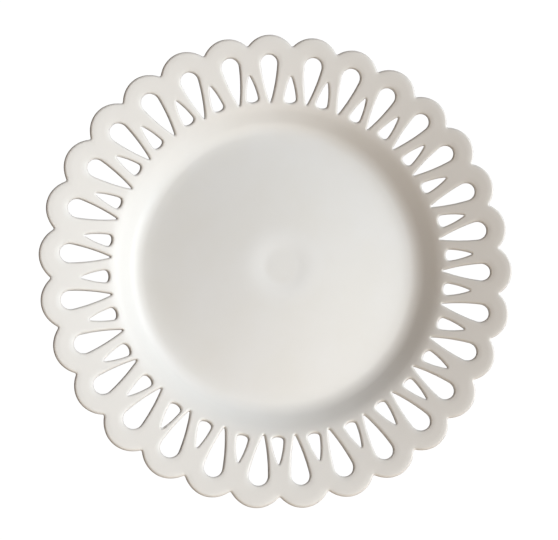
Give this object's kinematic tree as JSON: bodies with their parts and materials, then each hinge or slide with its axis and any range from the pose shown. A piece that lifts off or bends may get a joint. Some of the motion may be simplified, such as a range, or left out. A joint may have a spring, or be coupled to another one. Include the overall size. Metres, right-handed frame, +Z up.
{
  "type": "pierced-rim plate",
  "caption": "Round white glazed ceramic plate with a scalloped rim pierced by alternating large and small teardrop openings, a shallow well and a low foot ring.",
  "frame": {"origin": "centre of the foot ring, on the table", "axes": "+Z up along the plate's axis, +X through the middle of the first scallop"},
  "size_m": [0.2703, 0.269, 0.0356],
  "materials": {
    "fired_clay": "matte, unglazed",
    "glaze": "gloss, white"
  },
  "bodies": {
    "root": {"ceramic_body": "fired_clay", "glaze_coat": "glaze", "recess_glaze": "glaze"}
  },
  "joints": []
}
